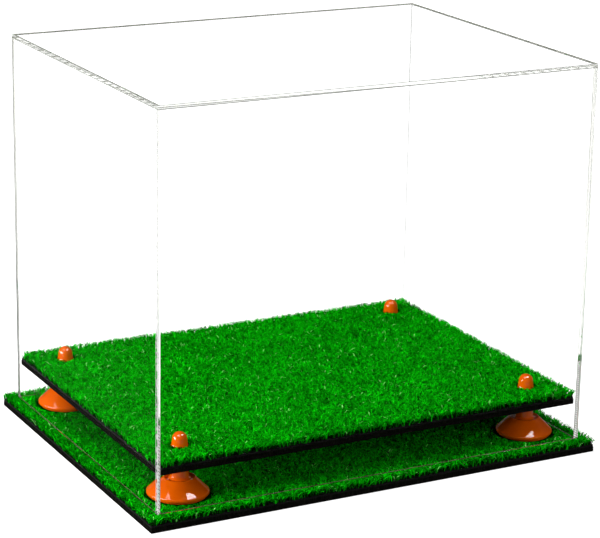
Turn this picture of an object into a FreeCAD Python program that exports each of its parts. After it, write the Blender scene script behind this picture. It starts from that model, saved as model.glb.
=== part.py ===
"""Display case: a clear five-sided cover over a two-tier stand with artificial turf.

Frame: +Z up, millimetres. The origin is on the floor under the middle of the stand.
X runs along the case's long side and -Y is its front.

From the floor upwards the stand is a black base board with turf, four bell-shaped risers, and a
smaller black shelf board with turf. At each corner one flat-head screw runs up through the base,
the riser and the shelf into a domed cap knob. The cover has no floor. It stands on the base turf,
around the shelf, and lifts straight off.
"""
import FreeCAD, Part
import math
import os

# ---- Driving dimensions ----------------------------------------------------------------------

# Cover: 14.5 x 11 x 12 inches outside, cemented from clear sheet
COVER_LENGTH = 368.3
COVER_DEPTH = 279.4
COVER_HEIGHT = 304.8
SHEET_THICKNESS = 3.0
SHEET_CHAMFER = 0.4

# The two boards, with the turf glued on top of each
BASE_OVERHANG = 9.525
SHELF_SIDE_GAP = 0.75
BOARD_THICKNESS = 4.5
BOARD_CORNER_RADIUS = 1.0
BOARD_CHAMFER = 0.4
BACKING_THICKNESS = 1.2
BACKING_INSET = 0.2
PILE_PRESSED_HEIGHT = 3.4
PILE_INSET = 0.5
PILE_TO_COVER_GAP = 0.3
TURF_CORNER_RADIUS = 1.5

# Shelf height and the corner positions shared by the risers, screws and knobs
SHELF_UNDERSIDE_Z = 38.5
CORNER_INSET = 28.0

# Riser: a hollow bell on a foot ring, with a solid hub, a groove around the hub and ribs inside
RISER_RADIUS = 22.5
RISER_FOOT_RADIUS = 20.8
RISER_FOOT_HEIGHT = 1.6
RISER_FOOT_ROUND = 0.4
RISER_RIM_ROUND = 0.8
RISER_WALL_TOP = 3.8
RISER_WALL_ROUND = 1.6
RISER_SHOULDER_RADIUS = 11.6
RISER_SHOULDER_Z = 14.4
RISER_SHOULDER_ROUND = 1.4
RISER_GROOVE_RADIUS = 8.3
RISER_GROOVE_Z = 13.5
RISER_HUB_FOOT_RADIUS = 7.1
RISER_HUB_FOOT_Z = 15.2
RISER_HUB_TOP_RADIUS = 6.3
RISER_HUB_ROUND = 0.7
RISER_SKIN = 2.0
RISER_BOSS_RADIUS = 4.6
RISER_RIB_COUNT = 6
RISER_RIB_THICKNESS = 1.6
RISER_RIB_FOOT_GAP = 2.0

# Cap knob: a dome on a slightly tapered body with a flared skirt
KNOB_HEIGHT = 11.3
KNOB_DOME_RADIUS = 5.7
KNOB_BODY_FOOT_RADIUS = 6.2
KNOB_BODY_FOOT_Z = 2.0
KNOB_SKIRT_RADIUS = 6.65
KNOB_SKIRT_Z = 0.7
KNOB_SKIRT_UNDERCUT = 0.3
KNOB_BORE_DEPTH = 8.4

# Flat-head machine screw, M4 x 55, cross recess
SCREW_LENGTH = 55.0
SCREW_MAJOR_RADIUS = 2.0
SCREW_MINOR_RADIUS = 1.62
SCREW_PITCH = 0.7
SCREW_THREAD_TURNS = 14
SCREW_TIP_CHAMFER = 0.5
SCREW_HEAD_RADIUS = 3.75
SCREW_HEAD_RIM = 0.3
SCREW_HEAD_RECESS = 0.2
SCREW_CROSS_LENGTH = 3.8
SCREW_CROSS_WIDTH = 0.8
SCREW_CROSS_DEPTH = 1.5
SCREW_HOLE_RADIUS = 2.2
THREAD_CLEARANCE = 0.05

# ---- Levels and half sizes worked out from them ----------------------------------------------

CORNER_NAMES = {
    "front_left": (-1, -1),
    "front_right": (1, -1),
    "back_left": (-1, 1),
    "back_right": (1, 1),
}
COVER_HALF_X = COVER_LENGTH / 2
COVER_HALF_Y = COVER_DEPTH / 2
BASE_HALF_X = COVER_HALF_X + BASE_OVERHANG
BASE_HALF_Y = COVER_HALF_Y + BASE_OVERHANG
SHELF_HALF_X = COVER_HALF_X - SHEET_THICKNESS - SHELF_SIDE_GAP
SHELF_HALF_Y = COVER_HALF_Y - SHEET_THICKNESS - SHELF_SIDE_GAP
TURF_HEIGHT = BACKING_THICKNESS + PILE_PRESSED_HEIGHT
BASE_PILE_TOP_Z = BOARD_THICKNESS + TURF_HEIGHT
RISER_HEIGHT = SHELF_UNDERSIDE_Z - BASE_PILE_TOP_Z
SHELF_PILE_TOP_Z = SHELF_UNDERSIDE_Z + BOARD_THICKNESS + TURF_HEIGHT
COVER_BOTTOM_Z = BASE_PILE_TOP_Z + PILE_TO_COVER_GAP
COVER_TOP_Z = COVER_BOTTOM_Z + COVER_HEIGHT
WALL_TOP_Z = COVER_TOP_Z - SHEET_THICKNESS
CORNER_X = SHELF_HALF_X - CORNER_INSET
CORNER_Y = SHELF_HALF_Y - CORNER_INSET
SCREW_BOTTOM_Z = SCREW_HEAD_RECESS
SCREW_RIM_TOP_Z = SCREW_BOTTOM_Z + SCREW_HEAD_RIM
SCREW_HEAD_TOP_Z = SCREW_RIM_TOP_Z + SCREW_HEAD_RADIUS - SCREW_MAJOR_RADIUS
SCREW_TIP_Z = SCREW_BOTTOM_Z + SCREW_LENGTH
COUNTERSINK_RADIUS = SCREW_HEAD_RADIUS + SCREW_RIM_TOP_Z
UP = FreeCAD.Vector(0, 0, 1)
ORIGIN = FreeCAD.Vector(0, 0, 0)


# ---- Helpers ---------------------------------------------------------------------------------

def vec(x, y, z):
    return FreeCAD.Vector(x, y, z)


def block(low, high):
    """A box between its lowest and highest corners."""
    size = vec(*high) - vec(*low)
    return Part.makeBox(size.x, size.y, size.z, vec(*low))


def slab(half_x, half_y, bottom_z, top_z):
    """A box centred on the Z axis."""
    return block((-half_x, -half_y, bottom_z), (half_x, half_y, top_z))


def upright_edges(shape):
    return [e for e in shape.Edges if abs(e.tangentAt(e.FirstParameter).z) > 0.99]


def lies_level(face):
    return abs(face.normalAt(0, 0).z) > 0.99


def revolve(edges):
    """Turns a closed outline in the XZ plane (x is the radius) once around Z."""
    face = Part.Face(Part.Wire(edges))
    return face.revolve(ORIGIN, UP, 360)


def outline(points):
    """A closed outline of straight edges through (radius, z) points."""
    corners = [vec(r, 0, z) for r, z in points]
    return Part.makePolygon(corners + corners[:1]).Edges


def line(start, end):
    return Part.LineSegment(vec(start[0], 0, start[1]), vec(end[0], 0, end[1])).toShape()


def arc(start, middle, end):
    points = [vec(p[0], 0, p[1]) for p in (start, middle, end)]
    return Part.Arc(points[0], points[1], points[2]).toShape()


def rounded_corner(before, corner, after, radius):
    """Start, middle and end of the arc that rounds a corner between two straight runs."""
    to_before = vec(before[0] - corner[0], 0, before[1] - corner[1]).normalize()
    to_after = vec(after[0] - corner[0], 0, after[1] - corner[1]).normalize()
    half_angle = to_before.getAngle(to_after) / 2
    along = radius / math.tan(half_angle)
    to_centre = (to_before + to_after).normalize()
    point = vec(corner[0], 0, corner[1])
    centre = point + to_centre * (radius / math.sin(half_angle))
    start = point + to_before * along
    middle = centre - to_centre * radius
    end = point + to_after * along
    return [(p.x, p.z) for p in (start, middle, end)]


def rounded_outline(corners):
    """Edges through (radius, z, rounding) corners, closed by a straight run back to the first."""
    edges = []
    position = corners[0][:2]
    for index in range(1, len(corners)):
        r, z, rounding = corners[index]
        if rounding == 0:
            edges.append(line(position, (r, z)))
            position = (r, z)
            continue
        after = corners[index + 1][:2]
        start, middle, end = rounded_corner(corners[index - 1][:2], (r, z), after, rounding)
        edges.append(line(position, start))
        edges.append(arc(start, middle, end))
        position = end
    edges.append(line(position, corners[0][:2]))
    return edges


def at_corners(shape):
    """The shape copied to the four corner axes, by corner name."""
    copies = {}
    for name, (side_x, side_y) in CORNER_NAMES.items():
        copies[name] = shape.translated(vec(side_x * CORNER_X, side_y * CORNER_Y, 0))
    return copies


def drilled(plate, radius):
    """The plate with a straight hole at each corner axis."""
    box = plate.BoundBox
    hole = Part.makeCylinder(radius, box.ZLength, vec(0, 0, box.ZMin), UP)
    return plate.cut(list(at_corners(hole).values()))


# ---- Boards and turf -------------------------------------------------------------------------

def board(half_x, half_y, bottom_z):
    """A sheet with rounded upright corners and a fine polished chamfer around both faces."""
    plate = slab(half_x, half_y, bottom_z, bottom_z + BOARD_THICKNESS)
    plate = plate.makeFillet(BOARD_CORNER_RADIUS, upright_edges(plate))
    rims = [edge for face in plate.Faces if lies_level(face) for edge in face.Edges]
    return plate.makeChamfer(BOARD_CHAMFER, rims)


def countersunk(plate):
    """The base board with a 90 degree countersink from below at each corner axis."""
    cone = Part.makeCone(COUNTERSINK_RADIUS, 0, COUNTERSINK_RADIUS, ORIGIN, UP)
    return plate.cut(list(at_corners(cone).values()))


def turf_layer(half_x, half_y, inset, bottom_z, height):
    layer = slab(half_x - inset, half_y - inset, bottom_z, bottom_z + height)
    layer = layer.makeFillet(TURF_CORNER_RADIUS, upright_edges(layer))
    return drilled(layer, SCREW_HOLE_RADIUS)


def turf(prefix, half_x, half_y, bottom_z):
    """Backing sheet and pile. The pile stands at the height that a resting object presses it to."""
    backing = turf_layer(half_x, half_y, BACKING_INSET, bottom_z, BACKING_THICKNESS)
    pile_z = bottom_z + BACKING_THICKNESS
    pile = turf_layer(half_x, half_y, PILE_INSET, pile_z, PILE_PRESSED_HEIGHT)
    return {prefix + "_turf_backing": backing, prefix + "_turf_pile": pile}


# ---- Riser -----------------------------------------------------------------------------------

def riser():
    """A moulded bell: foot ring sunk in the turf, rim, straight flank, rounded shoulder, groove and hub."""
    skin = RISER_SKIN
    top_z = RISER_HEIGHT
    outer = revolve(rounded_outline([
        (0, 0, 0),
        (RISER_FOOT_RADIUS, 0, RISER_FOOT_ROUND),
        (RISER_FOOT_RADIUS, RISER_FOOT_HEIGHT, 0),
        (RISER_RADIUS, RISER_FOOT_HEIGHT, RISER_RIM_ROUND),
        (RISER_RADIUS, RISER_WALL_TOP, RISER_WALL_ROUND),
        (RISER_SHOULDER_RADIUS, RISER_SHOULDER_Z, RISER_SHOULDER_ROUND),
        (RISER_GROOVE_RADIUS, RISER_GROOVE_Z, RISER_HUB_ROUND),
        (RISER_HUB_FOOT_RADIUS, RISER_HUB_FOOT_Z, RISER_HUB_ROUND),
        (RISER_HUB_TOP_RADIUS, top_z, RISER_HUB_ROUND),
        (0, top_z, 0),
    ]))
    flank_slope = (RISER_RADIUS - RISER_SHOULDER_RADIUS) / (RISER_SHOULDER_Z - RISER_WALL_TOP)
    ceiling_z = RISER_GROOVE_Z - skin
    hollow_radius = RISER_FOOT_RADIUS - skin
    hollow_top_radius = RISER_RADIUS - skin - flank_slope * (ceiling_z - RISER_WALL_TOP + skin)
    hollow_wall_z = ceiling_z - (hollow_radius - hollow_top_radius) / flank_slope
    hollow = revolve(outline([
        (RISER_BOSS_RADIUS, 0),
        (hollow_radius, 0),
        (hollow_radius, hollow_wall_z),
        (hollow_top_radius, ceiling_z),
        (RISER_BOSS_RADIUS, ceiling_z),
    ]))
    bell = outer.cut(hollow)
    rib = block(
        (RISER_BOSS_RADIUS - skin / 2, -RISER_RIB_THICKNESS / 2, RISER_RIB_FOOT_GAP),
        (hollow_radius, RISER_RIB_THICKNESS / 2, ceiling_z),
    )
    ribs = []
    for index in range(RISER_RIB_COUNT):
        turned = rib.copy()
        turned.rotate(ORIGIN, UP, index * 360 / RISER_RIB_COUNT)
        ribs.append(turned.common(hollow))
    bell = bell.fuse(ribs)
    bell = bell.cut(Part.makeCylinder(SCREW_HOLE_RADIUS, top_z, ORIGIN, UP))
    bell = bell.removeSplitter()
    return bell.translated(vec(0, 0, BASE_PILE_TOP_Z))


# ---- Screw and cap knob ----------------------------------------------------------------------

def thread_rings(minor_radius, major_radius):
    """Flanks of the thread at the screw's tip, as (radius, z) points from the bottom up.

    The thread is drawn as closed rings at its real pitch, and the knob repeats it with a clearance.
    """
    points = []
    start_z = SCREW_TIP_Z - SCREW_TIP_CHAMFER - SCREW_THREAD_TURNS * SCREW_PITCH
    for turn in range(SCREW_THREAD_TURNS):
        foot_z = start_z + turn * SCREW_PITCH
        points.append((minor_radius, foot_z))
        points.append((major_radius, foot_z + SCREW_PITCH / 2))
    points.append((minor_radius, start_z + SCREW_THREAD_TURNS * SCREW_PITCH))
    return points


def screw():
    """Its 90 degree head seats in the board's countersink, just below the board's underside."""
    thread = thread_rings(SCREW_MINOR_RADIUS, SCREW_MAJOR_RADIUS)
    shank_top = (SCREW_MAJOR_RADIUS, thread[0][1] - SCREW_PITCH / 2)
    tip_radius = SCREW_MINOR_RADIUS - SCREW_TIP_CHAMFER
    body = revolve(outline([
        (0, SCREW_BOTTOM_Z),
        (SCREW_HEAD_RADIUS, SCREW_BOTTOM_Z),
        (SCREW_HEAD_RADIUS, SCREW_RIM_TOP_Z),
        (SCREW_MAJOR_RADIUS, SCREW_HEAD_TOP_Z),
        shank_top,
    ] + thread + [
        (tip_radius, SCREW_TIP_Z),
        (0, SCREW_TIP_Z),
    ]))
    long_half = SCREW_CROSS_LENGTH / 2
    short_half = SCREW_CROSS_WIDTH / 2
    cross_top_z = SCREW_BOTTOM_Z + SCREW_CROSS_DEPTH
    slot_x = slab(long_half, short_half, SCREW_BOTTOM_Z, cross_top_z)
    slot_y = slab(short_half, long_half, SCREW_BOTTOM_Z, cross_top_z)
    return body.cut([slot_x, slot_y])


def cap_knob():
    """A domed nut with a blind tapped bore and a flared skirt that beds into the turf."""
    bottom_z = SHELF_PILE_TOP_Z
    top_z = bottom_z + KNOB_HEIGHT
    dome_z = top_z - KNOB_DOME_RADIUS
    skirt_z = bottom_z + KNOB_SKIRT_Z
    dome_slant = KNOB_DOME_RADIUS * math.sqrt(0.5)
    edges = [
        line((0, bottom_z), (KNOB_SKIRT_RADIUS - KNOB_SKIRT_UNDERCUT, bottom_z)),
        line((KNOB_SKIRT_RADIUS - KNOB_SKIRT_UNDERCUT, bottom_z),
             (KNOB_SKIRT_RADIUS, bottom_z + KNOB_SKIRT_UNDERCUT)),
        line((KNOB_SKIRT_RADIUS, bottom_z + KNOB_SKIRT_UNDERCUT), (KNOB_SKIRT_RADIUS, skirt_z)),
        line((KNOB_SKIRT_RADIUS, skirt_z), (KNOB_BODY_FOOT_RADIUS, bottom_z + KNOB_BODY_FOOT_Z)),
        line((KNOB_BODY_FOOT_RADIUS, bottom_z + KNOB_BODY_FOOT_Z), (KNOB_DOME_RADIUS, dome_z)),
        arc((KNOB_DOME_RADIUS, dome_z), (dome_slant, dome_z + dome_slant), (0, top_z)),
        line((0, top_z), (0, bottom_z)),
    ]
    knob = revolve(edges)
    minor_radius = SCREW_MINOR_RADIUS + THREAD_CLEARANCE
    major_radius = SCREW_MAJOR_RADIUS + THREAD_CLEARANCE
    bore_top_z = bottom_z + KNOB_BORE_DEPTH
    thread = [p for p in thread_rings(minor_radius, major_radius) if p[1] > bottom_z + SCREW_PITCH]
    bore = revolve(outline([
        (0, bottom_z),
        (major_radius, bottom_z),
        (major_radius, thread[0][1] - SCREW_PITCH / 2),
    ] + thread + [
        (minor_radius, bore_top_z),
        (0, bore_top_z),
    ]))
    return knob.cut(bore)


# ---- Cover -----------------------------------------------------------------------------------

def polished(panel):
    """Chamfers the panel's edges that lie on the outer edges of the assembled cover."""
    faces = ((-COVER_HALF_X, COVER_HALF_X), (-COVER_HALF_Y, COVER_HALF_Y), (COVER_BOTTOM_Z, COVER_TOP_Z))

    def outer_sides(edge):
        centre = edge.CenterOfMass
        return sum(
            min(abs(centre[axis] - limit) for limit in faces[axis]) < SHEET_CHAMFER / 2
            for axis in range(len(faces))
        )

    outer_edges = [e for e in panel.Edges if outer_sides(e) == 2]
    return panel.makeChamfer(SHEET_CHAMFER, outer_edges)


def cover():
    """Top sheet over four walls: front and back full length, the sides cemented between them."""
    x = COVER_HALF_X
    y = COVER_HALF_Y
    inner_x = x - SHEET_THICKNESS
    inner_y = y - SHEET_THICKNESS
    low = COVER_BOTTOM_Z
    high = WALL_TOP_Z
    panels = {
        "cover_top_panel": block((-x, -y, high), (x, y, COVER_TOP_Z)),
        "cover_front_panel": block((-x, -y, low), (x, -inner_y, high)),
        "cover_back_panel": block((-x, inner_y, low), (x, y, high)),
        "cover_left_panel": block((-x, -inner_y, low), (-inner_x, inner_y, high)),
        "cover_right_panel": block((inner_x, -inner_y, low), (x, inner_y, high)),
    }
    return {name: polished(panel) for name, panel in panels.items()}


# ---- Assembly and export ---------------------------------------------------------------------

def build():
    shelf_z = SHELF_UNDERSIDE_Z
    nodes = {
        "base_board": countersunk(drilled(board(BASE_HALF_X, BASE_HALF_Y, 0), SCREW_HOLE_RADIUS)),
        "shelf_board": drilled(board(SHELF_HALF_X, SHELF_HALF_Y, shelf_z), SCREW_HOLE_RADIUS),
    }
    nodes.update(turf("base", BASE_HALF_X, BASE_HALF_Y, BOARD_THICKNESS))
    nodes.update(turf("shelf", SHELF_HALF_X, SHELF_HALF_Y, shelf_z + BOARD_THICKNESS))
    for prefix, shape in (("riser", riser()), ("screw", screw()), ("cap_knob", cap_knob())):
        for corner, copy in at_corners(shape).items():
            nodes[prefix + "_" + corner] = copy
    nodes.update(cover())
    return nodes


def main():
    os.makedirs("parts", exist_ok=True)
    for name, shape in build().items():
        solid = shape.Solids[0]
        if len(shape.Solids) != 1 or not solid.isValid():
            raise ValueError(name + " is not one valid solid")
        solid.exportStep(os.path.join("parts", name + ".step"))
        print("%-24s %10.1f mm3" % (name, solid.Volume))


main()
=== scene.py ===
import math

import bmesh
import bpy
import numpy as np
from mathutils import Matrix, Vector


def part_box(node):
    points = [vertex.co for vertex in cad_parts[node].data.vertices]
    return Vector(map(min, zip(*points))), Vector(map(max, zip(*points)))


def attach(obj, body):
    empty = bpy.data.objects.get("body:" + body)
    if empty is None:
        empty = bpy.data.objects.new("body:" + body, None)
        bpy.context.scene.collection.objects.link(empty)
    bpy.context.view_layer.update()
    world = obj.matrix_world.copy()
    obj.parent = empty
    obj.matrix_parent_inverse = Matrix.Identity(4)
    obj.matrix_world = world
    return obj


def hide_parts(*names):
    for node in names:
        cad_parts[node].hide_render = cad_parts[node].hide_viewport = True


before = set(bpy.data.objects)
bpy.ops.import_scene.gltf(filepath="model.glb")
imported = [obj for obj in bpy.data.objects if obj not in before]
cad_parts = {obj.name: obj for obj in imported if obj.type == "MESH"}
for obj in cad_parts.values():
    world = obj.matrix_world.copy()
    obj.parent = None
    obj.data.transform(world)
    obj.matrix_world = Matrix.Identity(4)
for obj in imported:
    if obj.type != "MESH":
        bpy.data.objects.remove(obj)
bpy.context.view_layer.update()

# All lengths are in metres and all places in the shared frame, unless a name says otherwise.
MM = 0.001
SEED = 20

# Camera
CAMERA_PLACE = Vector((-0.8267, -1.5541, 0.6652))
CAMERA_YAW_DEG = 28.13
CAMERA_PITCH_DEG = 16.75
CAMERA_ROLL_DEG = 1.09
CAMERA_LENS_MM = 138.0
CAMERA_SENSOR_MM = 36.0
CAMERA_CLIP = (0.05, 60.0)

# How often light may turn, and how many clear faces it may pass
TURNS = 256
DIFFUSE_TURNS = 4
CLEAR_FACES = 48

# Stage
FLOOR_HALF = 14.0
FLOOR_DROP = 0.2 * MM
FLOOR_COLOUR = (0.93, 0.93, 0.93)
FLOOR_BOUNCE = (0.25, 0.25, 0.25)
FLOOR_GLOW = 0.6
SKY_COLOUR = (1.0, 1.0, 1.0)
SKY_SHOWN = 1.0
SKY_LIGHT = 0.36
SKY_MIRRORED = 0.15
UNDER_LIGHT = 0.05
CEILING_SHOWN = 0.2
BACKDROP_TOP = (0.33, 0.7)
SKY_LIGHT_RISE = (-0.05, 0.7)
TOP_LIGHT_STRENGTH = 1.46
TOP_LIGHT_SPREAD_DEG = 34.0
TOP_LIGHT_FROM = Vector((-0.45, -0.14, 1.0))
LIGHT_AIM = Vector((0.0, 0.0, 0.03))
SOFTBOXES = (
    # name, place, width and height, power, whether it lights things or gleams in them
    ("key_fill", (-1.10, 0.05, 0.34), (0.60, 0.56), 15.4, "lights"),
    ("key_gleam", (-1.10, 0.10, 0.20), (1.00, 0.40), 20.0, "gleams"),
    ("front_fill", (0.55, -1.10, 0.50), (0.60, 0.50), 3.8, "lights"),
    ("window_gleam", (0.40, -0.43, 1.18), (0.78, 0.48), 21.0, "gleams"),
)

# Boards, backing, plastic and steel: pairs of colours and of roughness values
PLASTIC_ORANGES = ((0.66, 0.086, 0.0003), (0.74, 0.109, 0.0005))
PLASTIC_ROUGHNESS = (0.03, 0.07)
BOARD_BLACKS = ((0.004, 0.004, 0.0042), (0.014, 0.014, 0.0145))
BOARD_ROUGHNESS = (0.05, 0.14)
SAWN_BLACKS = ((0.0025, 0.0025, 0.0022), (0.013, 0.013, 0.010))
BACKING_BLACKS = ((0.003, 0.003, 0.003), (0.014, 0.014, 0.014))
BACKING_ROUGHNESS = (0.62, 0.9)
THREADS_PER_METRE = 260.0
PLATING_GREYS = ((0.56, 0.57, 0.56), (0.75, 0.74, 0.69))
PLATING_ROUGHNESS = (0.2, 0.42)

# Cover
EDGE_BEVEL = 0.28 * MM
EDGE_BEVEL_STEPS = 2
CONTACT = 0.01 * MM
ACRYLIC_IOR = 1.49
RESTING_IOR = 1.53
FACE_PASS = (0.955, 0.957, 0.955)
SHEEN_POWER = 3.0
MIRROR_TINT = (0.9948, 0.9949, 0.9942)
POLISHED_TINT = (0.98, 0.985, 0.975)
SIDE_TINT = (0.60, 0.60, 0.60)
JOINT_TINT = (0.975, 0.975, 0.970)
CORNER_TINT = (0.95, 0.97, 0.96)
EDGE_ROUGHNESS = 0.02
CORNER_ROUGHNESS = 0.1
POLISHED_MARKS = 0.03
SAWN_MARKS = 0.6
MARK_COLOUR = (0.44, 0.45, 0.44)
TOP_HAZE = (0.7, 0.95)
TOP_GREYS = ((0.42, 0.43, 0.41), (0.52, 0.53, 0.51))
SIDE_HAZE = (0.12, 0.3)
# The near upright corner's higher haze and paler greys are a painted highlight, standing in for the key light
# gleaming in its bevels.
NEAR_HAZE_AND_PAINTED_HIGHLIGHT = (0.7, 0.95)
NEAR_PAINTED_HIGHLIGHT_GREYS = ((0.62, 0.63, 0.61), (0.80, 0.81, 0.79))
# The low corners' dark olive greys are painted shade, with the turf's green in it.
LOW_HAZE_AND_PAINTED_SHADE = (0.6, 0.95)
LOW_PAINTED_SHADE_GREYS = ((0.05, 0.055, 0.02), (0.16, 0.16, 0.08))
RESTING_GREYS = ((0.80, 0.81, 0.76), (0.95, 0.95, 0.91))

# Turf
TUFT_PITCH = 1.95 * MM
TUFT_JITTER = 0.42
TUFT_BLADES = 5
TUFT_RADIUS = 0.7 * MM
BLADE_LENGTH = 7.7 * MM
BLADE_LENGTH_SPREAD = 0.16
BLADE_LENGTH_LIMITS = (0.5, 1.4)
BLADE_WIDTH = 0.74 * MM
BLADE_WIDTH_SPREAD = 0.18
BLADE_WIDTH_LIMITS = (0.5, 1.5)
BLADE_PROFILE = (0.75, 1.0, 0.8)
BLADE_STEPS = (0.40, 0.33, 0.27)
BLADE_SEGMENTS = len(BLADE_STEPS)
BLADE_BEND_MAX_DEG = 100.0
TUFT_LENGTH_SPREAD = 0.10
TUFT_LENGTH_LIMITS = (0.7, 1.25)
TUFT_SHARE = 0.45
CUT_BAND = 2.0 * MM
CUT_KEPT = 0.76
BLADE_LEAN_DEG = (4.0, 34.0)
BLADE_CURL_DEG = (8.0, 42.0)
BLADE_TWIST_DEG = 70.0
FACING_SHARE = 0.5
LAY_OUTWARD = 0.7
LAY_RANDOM = 0.8
LAY_DRIFT = 0.25
DRIFT_WAVES = 7
DRIFT_LENGTHS = (0.12, 0.5)
PILE_RISE = 2.1 * MM
RISER_SLOPE = 0.5
KNOB_SLOPE = 12.0
OVERHANG = 2.6 * MM
OVERHANG_SPREAD = 2.6 * MM
# Out at the mat's cut edges some blades are spared the painted root shade, as they stand in open light.
OUTER_BAND = 2.4 * MM
OUTER_SHARE = 0.35
WALL_SLOPE = 1.3
WALL_MARGIN = 0.8 * MM
# How far from a riser's or knob's foot the pressed blades are painted dark all over: painted shade.
RISER_PAINTED_SHADE = 1.1 * MM
KNOB_PAINTED_SHADE = 0.35 * MM
TILES_ALONG = 3
TILES_ACROSS = 2
SHELF_WALL_GAP = 0.1 * MM

rng = np.random.default_rng(SEED)


# ---------------------------------------------------------------- materials

def shader(name):
    """A new empty material: its node tree and its output node."""
    material = bpy.data.materials.new(name)
    material.use_nodes = True
    tree = material.node_tree
    tree.nodes.clear()
    output = tree.nodes.new("ShaderNodeOutputMaterial")
    return material, tree, output


def node(tree, kind, **values):
    """A node of that kind. Names with a capital set input sockets, and the others set the node's own
    settings."""
    made = tree.nodes.new(kind)
    for key, value in values.items():
        if key[0].isupper():
            made.inputs[key.replace("_", " ")].default_value = value
        else:
            setattr(made, key, value)
    return made


def noise(tree, scale, detail=3.0, roughness=0.55, stretch=(1.0, 1.0, 1.0)):
    """A noise texture in object space, its features about 1 / scale metres across, stretched by axis."""
    place = node(tree, "ShaderNodeTexCoord")
    mapping = node(tree, "ShaderNodeMapping", Scale=stretch)
    texture = node(tree, "ShaderNodeTexNoise", Scale=scale, Detail=detail, Roughness=roughness)
    tree.links.new(place.outputs["Object"], mapping.inputs["Vector"])
    tree.links.new(mapping.outputs["Vector"], texture.inputs["Vector"])
    return texture.outputs["Fac"]


def spread(tree, value, low, high, start=0.3, end=0.7):
    """value from start to end mapped to low to high."""
    made = node(tree, "ShaderNodeMapRange", From_Min=start, From_Max=end, To_Min=low, To_Max=high)
    tree.links.new(value, made.inputs["Value"])
    return made.outputs["Result"]


def blend_colours(tree, factor, first, second):
    """A colour between first and second, by factor."""
    made = node(tree, "ShaderNodeMix", data_type="RGBA")
    colours = [s for s in made.inputs if s.type == "RGBA"]
    colours[0].default_value = (*first, 1.0)
    colours[1].default_value = (*second, 1.0)
    tree.links.new(factor, made.inputs["Factor"])
    return [s for s in made.outputs if s.type == "RGBA"][0]


def bump(tree, height, distance, strength=1.0):
    """A bump from a height field."""
    made = node(tree, "ShaderNodeBump", Distance=distance, Strength=strength)
    tree.links.new(height, made.inputs["Height"])
    return made.outputs["Normal"]


def facing_side(tree):
    """1 on sides and chamfers, and 0 on level faces."""
    geometry = node(tree, "ShaderNodeNewGeometry")
    split = node(tree, "ShaderNodeSeparateXYZ")
    size = node(tree, "ShaderNodeMath", operation="ABSOLUTE")
    level = node(tree, "ShaderNodeMath", operation="LESS_THAN")
    level.inputs[1].default_value = 0.9
    tree.links.new(geometry.outputs["Normal"], split.inputs["Vector"])
    tree.links.new(split.outputs["Z"], size.inputs[0])
    tree.links.new(size.outputs[0], level.inputs[0])
    return level.outputs[0]


def moulded_plastic():
    """Glossy moulded orange plastic: slow colour drift, faint flow marks, and hairline scuffs."""
    material, tree, output = shader("orange_moulded_plastic")
    body = node(tree, "ShaderNodeBsdfPrincipled", IOR=1.5)
    colour = blend_colours(tree, spread(tree, noise(tree, 90.0), 0.0, 1.0), *PLASTIC_ORANGES)
    rough = spread(tree, noise(tree, 900.0, stretch=(1.0, 1.0, 0.25)), *PLASTIC_ROUGHNESS)
    skin = bump(tree, noise(tree, 160.0, detail=2.0), 0.05 * MM, 0.35)
    tree.links.new(colour, body.inputs["Base Color"])
    tree.links.new(rough, body.inputs["Roughness"])
    tree.links.new(skin, body.inputs["Normal"])
    tree.links.new(body.outputs[0], output.inputs["Surface"])
    return material


def black_board():
    """Black acrylic sheet: glossy faces with faint dust, and sawn matt sides with fine upright tool marks."""
    material, tree, output = shader("black_acrylic_sheet")
    glossy = node(tree, "ShaderNodeBsdfPrincipled", IOR=1.49, Specular_IOR_Level=0.3)
    dust = spread(tree, noise(tree, 700.0, detail=6.0), 0.0, 1.0, 0.58, 0.74)
    tree.links.new(blend_colours(tree, dust, *BOARD_BLACKS), glossy.inputs["Base Color"])
    tree.links.new(spread(tree, noise(tree, 60.0), *BOARD_ROUGHNESS), glossy.inputs["Roughness"])
    sawn = node(tree, "ShaderNodeBsdfDiffuse")
    marks = noise(tree, 1500.0, detail=2.0, stretch=(1.0, 1.0, 0.15))
    chalky = blend_colours(tree, spread(tree, marks, 0.0, 1.0, 0.45, 0.75), *SAWN_BLACKS)
    tree.links.new(chalky, sawn.inputs["Color"])
    tree.links.new(bump(tree, marks, 0.08 * MM, 0.6), sawn.inputs["Normal"])
    mix = node(tree, "ShaderNodeMixShader")
    tree.links.new(facing_side(tree), mix.inputs[0])
    tree.links.new(glossy.outputs[0], mix.inputs[1])
    tree.links.new(sawn.outputs[0], mix.inputs[2])
    tree.links.new(mix.outputs[0], output.inputs["Surface"])
    return material


def woven_backing():
    """The turf's black latex-coated backing: matt, lumpy, with the weave's threads showing through."""
    material, tree, output = shader("black_turf_backing")
    body = node(tree, "ShaderNodeBsdfPrincipled", IOR=1.45, Specular_IOR_Level=0.12)
    place = node(tree, "ShaderNodeTexCoord")
    threads = []
    for direction in ("X", "Y"):
        wave = node(
            tree, "ShaderNodeTexWave", bands_direction=direction, Scale=THREADS_PER_METRE, Distortion=1.2
        )
        tree.links.new(place.outputs["Object"], wave.inputs["Vector"])
        threads.append(wave.outputs["Fac"])
    weave = node(tree, "ShaderNodeMath", operation="MAXIMUM")
    tree.links.new(threads[0], weave.inputs[0])
    tree.links.new(threads[1], weave.inputs[1])
    lumps = node(tree, "ShaderNodeMath", operation="ADD")
    tree.links.new(weave.outputs[0], lumps.inputs[0])
    tree.links.new(noise(tree, 1100.0, detail=5.0), lumps.inputs[1])
    colour = blend_colours(tree, spread(tree, noise(tree, 800.0), 0.0, 1.0), *BACKING_BLACKS)
    tree.links.new(colour, body.inputs["Base Color"])
    tree.links.new(spread(tree, weave.outputs[0], *BACKING_ROUGHNESS), body.inputs["Roughness"])
    tree.links.new(bump(tree, lumps.outputs[0], 0.25 * MM), body.inputs["Normal"])
    tree.links.new(body.outputs[0], output.inputs["Surface"])
    return material


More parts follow.
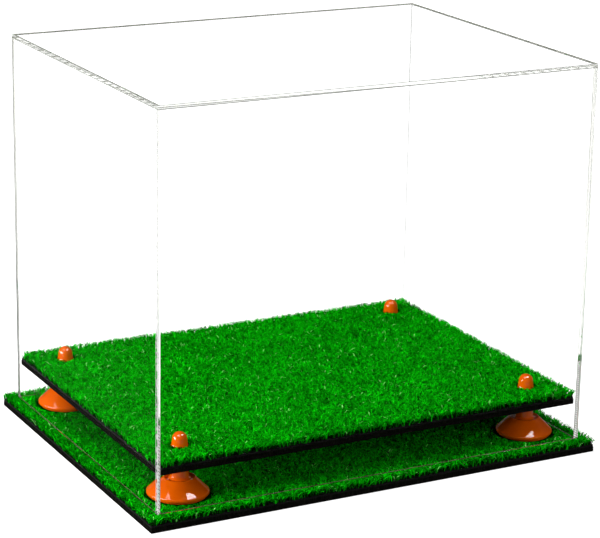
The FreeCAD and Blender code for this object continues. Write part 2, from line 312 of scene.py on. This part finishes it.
def plated_steel():
    """Zinc-plated steel: bright metal with a grain and faint blotches in the plating."""
    material, tree, output = shader("zinc_plated_steel")
    body = node(tree, "ShaderNodeBsdfPrincipled", Metallic=1.0)
    colour = blend_colours(tree, spread(tree, noise(tree, 500.0), 0.0, 1.0), *PLATING_GREYS)
    tree.links.new(colour, body.inputs["Base Color"])
    tree.links.new(spread(tree, noise(tree, 2500.0), *PLATING_ROUGHNESS), body.inputs["Roughness"])
    tree.links.new(bump(tree, noise(tree, 4000.0), 0.01 * MM, 0.4), body.inputs["Normal"])
    tree.links.new(body.outputs[0], output.inputs["Surface"])
    return material


def let_light_by(tree, surface, output):
    """Sends surface to the output, but lets most light on its way to other things pass straight through."""
    path = node(tree, "ShaderNodeLightPath")
    either = node(tree, "ShaderNodeMath", operation="MAXIMUM")
    clear = node(tree, "ShaderNodeBsdfTransparent")
    clear.inputs["Color"].default_value = (*FACE_PASS, 1.0)
    mix = node(tree, "ShaderNodeMixShader")
    tree.links.new(path.outputs["Is Shadow Ray"], either.inputs[0])
    tree.links.new(path.outputs["Is Diffuse Ray"], either.inputs[1])
    tree.links.new(either.outputs[0], mix.inputs[0])
    tree.links.new(surface, mix.inputs[1])
    tree.links.new(clear.outputs[0], mix.inputs[2])
    tree.links.new(mix.outputs[0], output.inputs["Surface"])


def mirror_share(tree):
    """How much a sheet's surface mirrors: all of the light that it traps inside, and little of what falls
    on it."""
    share = node(tree, "ShaderNodeFresnel", IOR=ACRYLIC_IOR)
    soft = node(tree, "ShaderNodeMath", operation="POWER")
    soft.inputs[1].default_value = SHEEN_POWER
    tree.links.new(share.outputs[0], soft.inputs[0])
    return soft.outputs[0]


def bending_sheet(tree, tint, rough):
    """Clear acrylic: light bends through it and mirrors inside it, and its outer faces mirror very little."""
    bends = node(tree, "ShaderNodeBsdfRefraction", IOR=ACRYLIC_IOR, Roughness=rough)
    mirrors = node(tree, "ShaderNodeBsdfGlossy", Roughness=rough)
    bends.inputs["Color"].default_value = (*tint, 1.0)
    mirrors.inputs["Color"].default_value = (*MIRROR_TINT, 1.0)
    mix = node(tree, "ShaderNodeMixShader")
    tree.links.new(mirror_share(tree), mix.inputs[0])
    tree.links.new(bends.outputs[0], mix.inputs[1])
    tree.links.new(mirrors.outputs[0], mix.inputs[2])
    return mix.outputs[0]


def clear_sheet():
    """Clear acrylic sheet's own polished face."""
    material, tree, output = shader("clear_acrylic_face")
    let_light_by(tree, bending_sheet(tree, (1.0, 1.0, 1.0), 0.0), output)
    return material


def clear_edge(name, tint, marked):
    """Clear acrylic's edge, polished, with rows of upright saw marks left in it. marked is how much the marks
    hide at their strongest."""
    material, tree, output = shader(name)
    marks = node(tree, "ShaderNodeBsdfDiffuse")
    marks.inputs["Color"].default_value = (*MARK_COLOUR, 1.0)
    mix = node(tree, "ShaderNodeMixShader")
    rows = noise(tree, 420.0, detail=1.0, stretch=(0.02, 0.02, 1.0))
    tree.links.new(spread(tree, rows, 0.0, marked, 0.46, 0.54), mix.inputs[0])
    tree.links.new(bending_sheet(tree, tint, EDGE_ROUGHNESS), mix.inputs[1])
    tree.links.new(marks.outputs[0], mix.inputs[2])
    let_light_by(tree, mix.outputs[0], output)
    return material


def scraped_corner(name, haze, colours):
    """Clear acrylic's scraped corners: narrow hazy bands that draw each sheet's outline."""
    material, tree, output = shader(name)
    matt = node(tree, "ShaderNodeBsdfDiffuse")
    mix = node(tree, "ShaderNodeMixShader")
    greys = blend_colours(tree, spread(tree, noise(tree, 120.0), 0.0, 1.0), *colours)
    tree.links.new(greys, matt.inputs["Color"])
    tree.links.new(spread(tree, noise(tree, 60.0), *haze), mix.inputs[0])
    tree.links.new(bending_sheet(tree, CORNER_TINT, CORNER_ROUGHNESS), mix.inputs[1])
    tree.links.new(matt.outputs[0], mix.inputs[2])
    let_light_by(tree, mix.outputs[0], output)
    return material


def resting_edge():
    """Clear acrylic's lower edges: they mirror at a low angle, and are pale where they press on the turf."""
    material, tree, output = shader("clear_acrylic_resting_edge")
    matt = node(tree, "ShaderNodeBsdfDiffuse")
    mirrors = node(tree, "ShaderNodeBsdfGlossy", Roughness=0.0)
    mirrors.inputs["Color"].default_value = (*MIRROR_TINT, 1.0)
    mix = node(tree, "ShaderNodeMixShader")
    marks = noise(tree, 900.0)
    greys = blend_colours(tree, spread(tree, marks, 0.0, 1.0), *RESTING_GREYS)
    tree.links.new(greys, matt.inputs["Color"])
    tree.links.new(node(tree, "ShaderNodeFresnel", IOR=RESTING_IOR).outputs[0], mix.inputs[0])
    tree.links.new(matt.outputs[0], mix.inputs[1])
    tree.links.new(mirrors.outputs[0], mix.inputs[2])
    let_light_by(tree, mix.outputs[0], output)
    return material


def cement_joint():
    """Where two sheets are cemented the joint is all but clear, and light doesn't turn there."""
    material, tree, output = shader("clear_cement_joint")
    clear = node(tree, "ShaderNodeBsdfTransparent")
    clear.inputs["Color"].default_value = (*JOINT_TINT, 1.0)
    tree.links.new(clear.outputs[0], output.inputs["Surface"])
    return material


TURF_GREENS = (
    # share, tip colour, roughness, shine
    (0.25, (0.0030, 0.43, 0.0028), 0.38, 0.0),
    (0.22, (0.0024, 0.27, 0.0022), 0.42, 0.0),
    (0.21, (0.0036, 0.64, 0.0034), 0.34, 0.0),
    (0.18, (0.0012, 0.08, 0.0010), 0.46, 0.0),
    (0.13, (0.0060, 0.88, 0.0055), 0.30, 0.0),
    # The last, whitish green is a painted glint: it stands in for the light specks that shine off the blades.
    (0.012, (0.24, 0.95, 0.18), 0.22, 0.10),
)
# How dark the root material is: painted shade down among the blades.
PAINTED_ROOT_SHADE = 0.12
RIB_SHADE = (0.72, 1.2)


def turf_materials():
    """A root material with painted shade and a tip material for each green, ribbed along the blades. One
    mat's blades differ in dye, the palest green being a painted glint, and the painted shade of the root
    material darkens them down at the roots."""
    made = []
    for index, (_, tip, rough, shine) in enumerate(TURF_GREENS):
        # The root copy is the tip colour darkened by painted shade; the tip copy is the blade's own colour.
        for part, painted_shade in (("root", PAINTED_ROOT_SHADE), ("tip", 1.0)):
            material, tree, output = shader(f"turf_green_{index + 1}_{part}")
            blade = node(tree, "ShaderNodeBsdfPrincipled", IOR=1.5, Specular_IOR_Level=shine)
            ribs = noise(tree, 2400.0, detail=1.0, stretch=(1.0, 1.0, 0.2))
            dark, light = (tuple(rib * painted_shade * c for c in tip) for rib in RIB_SHADE)
            dye = blend_colours(tree, spread(tree, ribs, 0.0, 1.0), dark, light)
            tree.links.new(dye, blade.inputs["Base Color"])
            tree.links.new(spread(tree, ribs, rough - 0.06, rough + 0.06), blade.inputs["Roughness"])
            tree.links.new(bump(tree, ribs, 0.05 * MM, 0.4), blade.inputs["Normal"])
            tree.links.new(blade.outputs[0], output.inputs["Surface"])
            made.append(material)
    return made


def dress(nodes, material):
    """Gives CAD nodes a material in their own slots."""
    for name in nodes:
        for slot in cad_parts[name].material_slots:
            slot.link = "OBJECT"
            slot.material = material


# ---------------------------------------------------------------- cover

SHEET_SLOTS = (
    "face", "top_edge", "side_edge", "sawn_edge", "resting_edge", "joint",
    "top_corner", "side_corner", "near_corner", "low_corner",
)
SAWN_PANEL = "cover_front_panel"


def sheet_materials():
    """The cover's materials, in the order of SHEET_SLOTS."""
    return (
        clear_sheet(),
        clear_edge("clear_acrylic_top_edge", POLISHED_TINT, POLISHED_MARKS),
        clear_edge("clear_acrylic_side_edge", SIDE_TINT, POLISHED_MARKS),
        clear_edge("clear_acrylic_sawn_edge", POLISHED_TINT, SAWN_MARKS),
        resting_edge(),
        cement_joint(),
        scraped_corner("clear_acrylic_top_corner", TOP_HAZE, TOP_GREYS),
        scraped_corner("clear_acrylic_side_corner", SIDE_HAZE, TOP_GREYS),
        # The near corner's material carries a painted highlight.
        scraped_corner("clear_acrylic_near_corner", NEAR_HAZE_AND_PAINTED_HIGHLIGHT, NEAR_PAINTED_HIGHLIGHT_GREYS),
        # The low corners' material carries painted shade.
        scraped_corner("clear_acrylic_low_corner", LOW_HAZE_AND_PAINTED_SHADE, LOW_PAINTED_SHADE_GREYS),
    )


def new_piece(name, body, replaced):
    """An empty mesh object that stands for a CAD node."""
    piece = bpy.data.objects.new(name, bpy.data.meshes.new(name))
    bpy.context.scene.collection.objects.link(piece)
    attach(piece, body)
    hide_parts(replaced)
    return piece


def touches(point, low, high):
    """True if the point lies in the box or on it."""
    return all(low[i] - CONTACT <= point[i] <= high[i] + CONTACT for i in range(3))


def corner_kind(face, low, high):
    """Which kind of scraped corner a bevel's face belongs to."""
    middle = face.calc_center_median()
    if middle.z < low.z + EDGE_BEVEL:
        return "low_corner"
    if middle.z > high.z - EDGE_BEVEL:
        return "top_corner"
    return "near_corner" if middle.x < 0.0 and middle.y < 0.0 else "side_corner"


def flat_kind(name, face, thin, others):
    """Which kind of surface one of a sheet's flat faces is."""
    if any(touches(face.calc_center_median(), *box) for box in others):
        return "joint"
    if abs(face.normal[thin]) > 0.5:
        return "face"
    if thin == 2:
        return "top_edge"
    if face.normal.z < -0.5:
        return "resting_edge"
    return "sawn_edge" if name == SAWN_PANEL and face.normal.x < 0.0 else "side_edge"


def panel(name, materials, cad_panels):
    """One sheet of the cover: cut along the lines where other sheets meet it, with scraped corners."""
    low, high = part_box(name)
    others = [box for other, box in cad_panels.items() if other != name]
    mesh = bmesh.new()
    bmesh.ops.create_cube(mesh, size=1.0)
    size = high - low
    centre = (high + low) / 2
    for vertex in mesh.verts:
        vertex.co = Vector(vertex.co[i] * size[i] + centre[i] for i in range(3))
    rounded = bmesh.ops.bevel(
        mesh, geom=mesh.edges[:], offset=EDGE_BEVEL, segments=EDGE_BEVEL_STEPS, profile=0.5, affect="EDGES"
    )
    for face in rounded["faces"]:
        face.material_index = SHEET_SLOTS.index(corner_kind(face, low, high))
    for other_low, other_high in others:
        for axis in range(3):
            for level in (other_low[axis], other_high[axis]):
                if low[axis] + CONTACT < level < high[axis] - CONTACT:
                    normal = Vector(1.0 if i == axis else 0.0 for i in range(3))
                    geometry = mesh.verts[:] + mesh.edges[:] + mesh.faces[:]
                    bmesh.ops.bisect_plane(
                        mesh, geom=geometry, plane_co=normal * level, plane_no=normal, dist=CONTACT / 2
                    )
    thin = min(range(3), key=lambda i: size[i])
    for face in mesh.faces:
        if face.material_index == 0:
            face.material_index = SHEET_SLOTS.index(flat_kind(name, face, thin, others))
    piece = new_piece("clear_" + name, "cover", name)
    mesh.to_mesh(piece.data)
    mesh.free()
    for material in materials:
        piece.data.materials.append(material)
    return piece


# ---------------------------------------------------------------- turf

def drift(size):
    """A smooth random field over a mat, about -1 to 1, from a few crossed waves."""
    waves = []
    for _ in range(DRIFT_WAVES):
        heading = rng.uniform(0.0, 2.0 * math.pi)
        length = rng.uniform(*DRIFT_LENGTHS) * size
        start = rng.uniform(0.0, 2.0 * math.pi)
        waves.append((math.cos(heading), math.sin(heading), 2.0 * math.pi / length, start))

    def field(x, y):
        total = sum(np.sin((x * c + y * s) * k + start) for c, s, k, start in waves)
        return total / math.sqrt(len(waves))

    return field


def tuft_roots(low, high, level):
    """Blade roots in tufts on a jittered grid over a rectangle, thinned out along its cut edges. Gives the
    roots, the way each one lies from the middle of its tuft, and the number of its tuft."""
    xs = np.arange(low[0] + TUFT_PITCH / 2, high[0], TUFT_PITCH)
    ys = np.arange(low[1] + TUFT_PITCH / 2, high[1], TUFT_PITCH)
    x, y = (g.ravel() for g in np.meshgrid(xs, ys))
    x = x + rng.uniform(-TUFT_JITTER, TUFT_JITTER, x.size) * TUFT_PITCH
    y = y + rng.uniform(-TUFT_JITTER, TUFT_JITTER, y.size) * TUFT_PITCH
    inside = np.minimum(np.minimum(x - low[0], high[0] - x), np.minimum(y - low[1], high[1] - y))
    kept = (inside > CUT_BAND) | (rng.uniform(0.0, 1.0, x.size) < CUT_KEPT)
    x, y = x[kept], y[kept]
    tuft = np.repeat(np.arange(x.size), TUFT_BLADES)
    turn = rng.uniform(0.0, 2.0 * math.pi, tuft.size)
    out = TUFT_RADIUS * np.sqrt(rng.uniform(0.0, 1.0, tuft.size))
    x = np.clip(x[tuft] + out * np.cos(turn), low[0], high[0])
    y = np.clip(y[tuft] + out * np.sin(turn), low[1], high[1])
    return np.stack([x, y, np.full(tuft.size, level)], axis=1), turn, tuft


def blade_paths(roots, heading, lean, curl, length):
    """The centre line of each blade, bending further over with each segment: points by blade by axis."""
    points = [roots]
    along = np.stack([np.cos(heading), np.sin(heading), np.zeros(heading.size)], axis=1)
    for step, share in enumerate(BLADE_STEPS):
        angle = np.minimum(lean + curl * step, math.radians(BLADE_BEND_MAX_DEG))
        forward = (np.sin(angle) * length * share)[:, None] * along
        rise = (np.cos(angle) * length * share)[:, None] * np.array([0.0, 0.0, 1.0])
        points.append(points[-1] + forward + rise)
    return np.stack(points)


def press(points, keep_out, floor_level):
    """Presses blades down under and beside what stands on the mat, and tells which blades lie in its deep
    shade, to be painted dark all over as painted shade. Each keep_out gives a point's distance outside it,
    how high blades stand at its foot, how steeply they rise beside it, and how far the painted shade reaches."""
    painted_shade_mask = np.zeros(points.shape[1], bool)
    for distance, foot, slope, painted_shade in keep_out:
        apart = distance(points[..., 0], points[..., 1])
        top = foot + np.maximum(apart, 0.0) * slope
        points[..., 2] = np.minimum(points[..., 2], np.maximum(top, floor_level))
        painted_shade_mask |= apart.min(axis=0) < painted_shade
    return painted_shade_mask


def segment_parts(roots, low, high, painted_shade_mask):
    """Which material each segment of each blade has, 0 for the root material with painted shade and 1 for
    tip.
    A blade gets painted shade at the root, and all over where it lies in deep shade, but sometimes nowhere
    out at the mat's cut edges."""
    inside = np.minimum(roots[:, :2] - np.array(low[:2]), np.array(high[:2]) - roots[:, :2]).min(axis=1)
    parts = np.ones((len(roots), BLADE_SEGMENTS), int)
    root_spared_painted_shade = (inside < OUTER_BAND) & (rng.uniform(0.0, 1.0, len(roots)) < OUTER_SHARE)
    parts[~root_spared_painted_shade, 0] = 0
    parts[painted_shade_mask] = 0
    return parts


def blades_mesh(mesh, points, side, width, kinds, parts):
    """Fills a mesh with one tapering ribbon for each blade."""
    count = points.shape[1]
    rows = []
    for step, share in enumerate(BLADE_PROFILE):
        half = side[step] * (width * share / 2)[:, None]
        rows += [points[step] - half, points[step] + half]
    rows.append(points[BLADE_SEGMENTS])
    vertices = np.stack(rows, axis=1)
    per_blade = vertices.shape[1]
    first = (np.arange(count) * per_blade)[:, None]
    quads = [np.array([2 * s, 2 * s + 1, 2 * s + 3, 2 * s + 2]) for s in range(BLADE_SEGMENTS - 1)]
    tip = np.array([per_blade - 3, per_blade - 2, per_blade - 1])
    loops = np.concatenate([first + q for q in quads] + [first + tip], axis=1)
    sizes = np.array([4] * len(quads) + [3])
    mesh.vertices.add(count * per_blade)
    mesh.vertices.foreach_set("co", vertices.astype(np.float32).ravel())
    mesh.loops.add(loops.size)
    mesh.loops.foreach_set("vertex_index", loops.astype(np.int32).ravel())
    all_sizes = np.tile(sizes, count)
    starts = np.concatenate([[0], np.cumsum(all_sizes)[:-1]])
    mesh.polygons.add(all_sizes.size)
    mesh.polygons.foreach_set("loop_start", starts.astype(np.int32))
    index = (2 * kinds[:, None] + parts).ravel()
    mesh.polygons.foreach_set("material_index", index.astype(np.int32))
    mesh.update(calc_edges=True)
    mesh.shade_smooth()


def turf(pile, backing, materials, keep_out, reach, reach_spread):
    """A mat of tufted blades in tiles that stand for one CAD pile. In x and y the blades stay within reach
    of the middle, less a random part of reach_spread."""
    low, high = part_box(backing)
    roots, outward, tuft = tuft_roots(low, high, high.z)
    count = len(roots)
    tufts = tuft[-1] + 1
    lay = drift(high.x - low.x)
    spin = rng.uniform(0.0, 2.0 * math.pi, count)
    swept = LAY_DRIFT * lay(roots[:, 0], roots[:, 1])
    lay_x = LAY_OUTWARD * np.cos(outward) + LAY_RANDOM * np.cos(spin) + swept
    lay_y = LAY_OUTWARD * np.sin(outward) + LAY_RANDOM * np.sin(spin)
    heading = np.arctan2(lay_y, lay_x)
    lean = np.radians(rng.uniform(*BLADE_LEAN_DEG, count))
    curl = np.radians(rng.uniform(*BLADE_CURL_DEG, count))
    length = BLADE_LENGTH * rng.normal(1.0, BLADE_LENGTH_SPREAD, count).clip(*BLADE_LENGTH_LIMITS)
    length *= rng.normal(1.0, TUFT_LENGTH_SPREAD, tufts).clip(*TUFT_LENGTH_LIMITS)[tuft]
    points = blade_paths(roots, heading, lean, curl, length)
    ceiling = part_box(pile)[1].z + PILE_RISE
    points[..., 2] = np.minimum(points[..., 2], ceiling)
    # press also picks the blades that get painted shade all over.
    painted_shade_mask = press(points, keep_out, high.z)
    for axis in range(2):
        limit = reach[axis] - reach_spread * rng.uniform(0.0, 1.0, count)
        points[1:, :, axis] = np.clip(points[1:, :, axis], -limit, limit)
    twist = rng.uniform(-1.0, 1.0, count) * math.radians(BLADE_TWIST_DEG)
    facing = rng.uniform(0.0, math.pi, count)
    side = []
    for step in range(BLADE_SEGMENTS):
        across = heading + math.pi / 2 + (facing - math.pi / 2) * FACING_SHARE + twist * step / BLADE_SEGMENTS
        side.append(np.stack([np.cos(across), np.sin(across), np.zeros(count)], axis=1))
    width = BLADE_WIDTH * rng.normal(1.0, BLADE_WIDTH_SPREAD, count).clip(*BLADE_WIDTH_LIMITS)
    edges = np.cumsum([green[0] for green in TURF_GREENS])
    shared = rng.uniform(0.0, 1.0, tufts)[tuft]
    own = rng.uniform(0.0, 1.0, count)
    pick = np.where(rng.uniform(0.0, 1.0, count) < TUFT_SHARE, shared, own)
    kinds = np.searchsorted(edges / edges[-1], pick)
    parts = segment_parts(roots, low, high, painted_shade_mask)
    column = np.minimum((roots[:, 0] - low.x) / (high.x - low.x) * TILES_ALONG, TILES_ALONG - 1).astype(int)
    row = np.minimum((roots[:, 1] - low.y) / (high.y - low.y) * TILES_ACROSS, TILES_ACROSS - 1).astype(int)
    for tile in range(TILES_ALONG * TILES_ACROSS):
        mine = column + TILES_ALONG * row == tile
        piece = new_piece(f"{pile}_blades_{tile + 1}", "stand", pile)
        for material in materials:
            piece.data.materials.append(material)
        sides = [s[mine] for s in side]
        blades_mesh(piece.data, points[:, mine], sides, width[mine], kinds[mine], parts[mine])


def outside_round(name, slope, painted_shade):
    """What press needs for a CAD node with a round foot."""
    low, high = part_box(name)
    centre = (low + high) / 2
    radius = (high.x - low.x) / 2
    return (lambda x, y: np.hypot(x - centre.x, y - centre.y) - radius), low.z, slope, painted_shade


def outside_walls():
    """What press needs for the cover's four walls. A margin keeps blades from crossing the walls' lower
    corners."""
    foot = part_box("cover_front_panel")[0].z - WALL_MARGIN / 2
    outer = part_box("cover_top_panel")[1]
    inner = Vector((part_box("cover_right_panel")[0].x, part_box("cover_back_panel")[0].y))

    def distance(x, y):
        beyond = np.maximum(np.abs(x) - outer.x, np.abs(y) - outer.y)
        within = np.minimum(inner.x - np.abs(x), inner.y - np.abs(y))
        return np.maximum(beyond, within) - WALL_MARGIN

    return distance, foot, WALL_SLOPE, -1.0


# ---------------------------------------------------------------- stage

def aim(thing, place, target):
    """Puts a light at place, shining towards target."""
    turn = (target - place).to_track_quat("-Z", "Y").to_matrix().to_4x4()
    thing.matrix_world = Matrix.Translation(place) @ turn


def mirrored_once(tree):
    """1 for light that was mirrored once on its way to the camera, and 0 for all other light."""
    path = node(tree, "ShaderNodeLightPath")
    once = node(tree, "ShaderNodeMath", operation="COMPARE")
    once.inputs[1].default_value = 1.0
    once.inputs[2].default_value = 0.5
    tree.links.new(path.outputs["Glossy Depth"], once.inputs[0])
    return once.outputs[0]


def gleam_only(data):
    """Keeps a softbox out of what the clear sheets let through and guide, which it would burn out."""
    data.use_nodes = True
    tree = data.node_tree
    tree.nodes.clear()
    output = tree.nodes.new("ShaderNodeOutputLight")
    glow = node(tree, "ShaderNodeEmission")
    tree.links.new(mirrored_once(tree), glow.inputs["Strength"])
    tree.links.new(glow.outputs[0], output.inputs["Surface"])


def softbox(name, place, size, power, role):
    """A rectangular softbox aimed at the object. It either lights things or gleams in them, so that each
    can be set on its own."""
    data = bpy.data.lights.new(name, "AREA")
    data.shape = "RECTANGLE"
    data.size, data.size_y = size
    data.energy = power
    light = bpy.data.objects.new(name, data)
    bpy.context.scene.collection.objects.link(light)
    aim(light, Vector(place), LIGHT_AIM)
    light.visible_camera = False
    light.visible_diffuse = role == "lights"
    light.visible_glossy = role == "gleams"
    light.visible_transmission = role == "gleams"
    if role == "gleams":
        gleam_only(data)


def lights():
    """A wide top light, and softboxes on the left, in front and above the front."""
    data = bpy.data.lights.new("top_light", "SUN")
    data.energy = TOP_LIGHT_STRENGTH
    data.angle = math.radians(TOP_LIGHT_SPREAD_DEG)
    top = bpy.data.objects.new("top_light", data)
    bpy.context.scene.collection.objects.link(top)
    aim(top, TOP_LIGHT_FROM, Vector((0.0, 0.0, 0.0)))
    top.visible_glossy = False
    for values in SOFTBOXES:
        softbox(*values)


def shown(tree):
    """1 for what the camera sees, straight or through clear sheets or along inside them, and 0 for what
    lights or is mirrored in something."""
    path = node(tree, "ShaderNodeLightPath")
    direct = node(tree, "ShaderNodeMath", operation="MAXIMUM")
    left = node(tree, "ShaderNodeMath", operation="SUBTRACT", use_clamp=True)
    tree.links.new(path.outputs["Is Camera Ray"], direct.inputs[0])
    tree.links.new(path.outputs["Is Transmission Ray"], direct.inputs[1])
    tree.links.new(direct.outputs[0], left.inputs[0])
    tree.links.new(mirrored_once(tree), left.inputs[1])
    return left.outputs[0]


def sky():
    """A white backdrop all round that falls off to a dim ceiling, and lights the object gently and evenly."""
    world = bpy.data.worlds.new("studio")
    bpy.context.scene.world = world
    world.use_nodes = True
    tree = world.node_tree
    tree.nodes.clear()
    output = tree.nodes.new("ShaderNodeOutputWorld")
    place = node(tree, "ShaderNodeTexCoord")
    split = node(tree, "ShaderNodeSeparateXYZ")
    backdrop = node(
        tree, "ShaderNodeMapRange",
        From_Min=BACKDROP_TOP[0], From_Max=BACKDROP_TOP[1], To_Min=SKY_SHOWN, To_Max=CEILING_SHOWN,
    )
    light = node(
        tree, "ShaderNodeMapRange",
        From_Min=SKY_LIGHT_RISE[0], From_Max=SKY_LIGHT_RISE[1], To_Min=UNDER_LIGHT, To_Max=SKY_LIGHT,
    )
    path = node(tree, "ShaderNodeLightPath")
    mirrored = node(tree, "ShaderNodeMath", operation="MULTIPLY_ADD")
    mirrored.inputs[1].default_value = SKY_MIRRORED - 1.0
    mirrored.inputs[2].default_value = 1.0
    lit = node(tree, "ShaderNodeMath", operation="MULTIPLY")
    strength = node(tree, "ShaderNodeMix", data_type="FLOAT")
    background = node(tree, "ShaderNodeBackground")
    background.inputs["Color"].default_value = (*SKY_COLOUR, 1.0)
    tree.links.new(place.outputs["Generated"], split.inputs["Vector"])
    tree.links.new(split.outputs["Z"], backdrop.inputs["Value"])
    tree.links.new(split.outputs["Z"], light.inputs["Value"])
    tree.links.new(shown(tree), strength.inputs["Factor"])
    tree.links.new(path.outputs["Is Glossy Ray"], mirrored.inputs[0])
    tree.links.new(light.outputs["Result"], lit.inputs[0])
    tree.links.new(mirrored.outputs[0], lit.inputs[1])
    tree.links.new(lit.outputs[0], strength.inputs["A"])
    tree.links.new(backdrop.outputs["Result"], strength.inputs["B"])
    tree.links.new(strength.outputs["Result"], background.inputs["Strength"])
    tree.links.new(background.outputs[0], output.inputs["Surface"])


def floor():
    """A plain pale floor that shows white, and is dim in mirror images so that the clear sheets stay
    clear."""
    mesh = bpy.data.meshes.new("floor")
    signs = ((-1, -1), (1, -1), (1, 1), (-1, 1))
    corners = [(sx * FLOOR_HALF, sy * FLOOR_HALF, -FLOOR_DROP) for sx, sy in signs]
    mesh.from_pydata(corners, [], [(0, 1, 2, 3)])
    plane = bpy.data.objects.new("floor", mesh)
    bpy.context.scene.collection.objects.link(plane)
    material, tree, output = shader("pale_floor")
    pale = node(tree, "ShaderNodeBsdfDiffuse")
    dim = node(tree, "ShaderNodeBsdfDiffuse")
    pale.inputs["Color"].default_value = (*FLOOR_COLOUR, 1.0)
    dim.inputs["Color"].default_value = (*FLOOR_BOUNCE, 1.0)
    surface = node(tree, "ShaderNodeMixShader")
    glow = node(tree, "ShaderNodeEmission")
    strength = node(tree, "ShaderNodeMath", operation="MULTIPLY")
    strength.inputs[1].default_value = FLOOR_GLOW
    both = node(tree, "ShaderNodeAddShader")
    seen = shown(tree)
    tree.links.new(seen, surface.inputs[0])
    tree.links.new(dim.outputs[0], surface.inputs[1])
    tree.links.new(pale.outputs[0], surface.inputs[2])
    tree.links.new(seen, strength.inputs[0])
    tree.links.new(strength.outputs[0], glow.inputs["Strength"])
    tree.links.new(surface.outputs[0], both.inputs[0])
    tree.links.new(glow.outputs[0], both.inputs[1])
    tree.links.new(both.outputs[0], output.inputs["Surface"])
    mesh.materials.append(material)


def camera():
    """The camera, at the photograph's viewing angle."""
    data = bpy.data.cameras.new("camera")
    data.lens = CAMERA_LENS_MM
    data.sensor_width = CAMERA_SENSOR_MM
    data.clip_start, data.clip_end = CAMERA_CLIP
    eye = bpy.data.objects.new("camera", data)
    bpy.context.scene.collection.objects.link(eye)
    turn = (
        Matrix.Rotation(math.radians(-CAMERA_YAW_DEG), 4, "Z")
        @ Matrix.Rotation(math.radians(90.0 - CAMERA_PITCH_DEG), 4, "X")
        @ Matrix.Rotation(math.radians(CAMERA_ROLL_DEG), 4, "Z")
    )
    eye.matrix_world = Matrix.Translation(CAMERA_PLACE) @ turn
    bpy.context.scene.camera = eye


def light_paths():
    """Enough bounces for light to run along inside the clear sheets and out at their edges, and colours shown
    as they are."""
    cycles = bpy.context.scene.cycles
    cycles.max_bounces = TURNS
    cycles.transmission_bounces = TURNS
    cycles.glossy_bounces = TURNS
    cycles.diffuse_bounces = DIFFUSE_TURNS
    cycles.transparent_max_bounces = CLEAR_FACES
    bpy.context.scene.view_settings.view_transform = "Standard"


# ---------------------------------------------------------------- the model

CORNERS = [name[len("riser_"):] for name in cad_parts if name.startswith("riser_")]
PANELS = {name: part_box(name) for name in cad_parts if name.startswith("cover_")}

camera()
lights()
sky()
floor()
light_paths()

sheets = sheet_materials()
for panel_name in sorted(PANELS):
    panel(panel_name, sheets, PANELS)

dress(["base_board", "shelf_board"], black_board())
dress(["base_turf_backing", "shelf_turf_backing"], woven_backing())
dress([part + corner for part in ("riser_", "cap_knob_") for corner in CORNERS], moulded_plastic())
dress(["screw_" + corner for corner in CORNERS], plated_steel())

greens = turf_materials()
base_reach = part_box("base_board")[1] + Vector((OVERHANG, OVERHANG, 0.0))
inner_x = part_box("cover_right_panel")[0].x
inner_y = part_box("cover_back_panel")[0].y
shelf_reach = Vector((inner_x - SHELF_WALL_GAP, inner_y - SHELF_WALL_GAP))
under_walls = [outside_walls()]
by_risers = [outside_round("riser_" + corner, RISER_SLOPE, RISER_PAINTED_SHADE) for corner in sorted(CORNERS)]
by_knobs = [outside_round("cap_knob_" + corner, KNOB_SLOPE, KNOB_PAINTED_SHADE) for corner in sorted(CORNERS)]
turf("base_turf_pile", "base_turf_backing", greens, by_risers + under_walls, base_reach, OVERHANG_SPREAD)
turf("shelf_turf_pile", "shelf_turf_backing", greens, by_knobs, shelf_reach, SHELF_WALL_GAP)
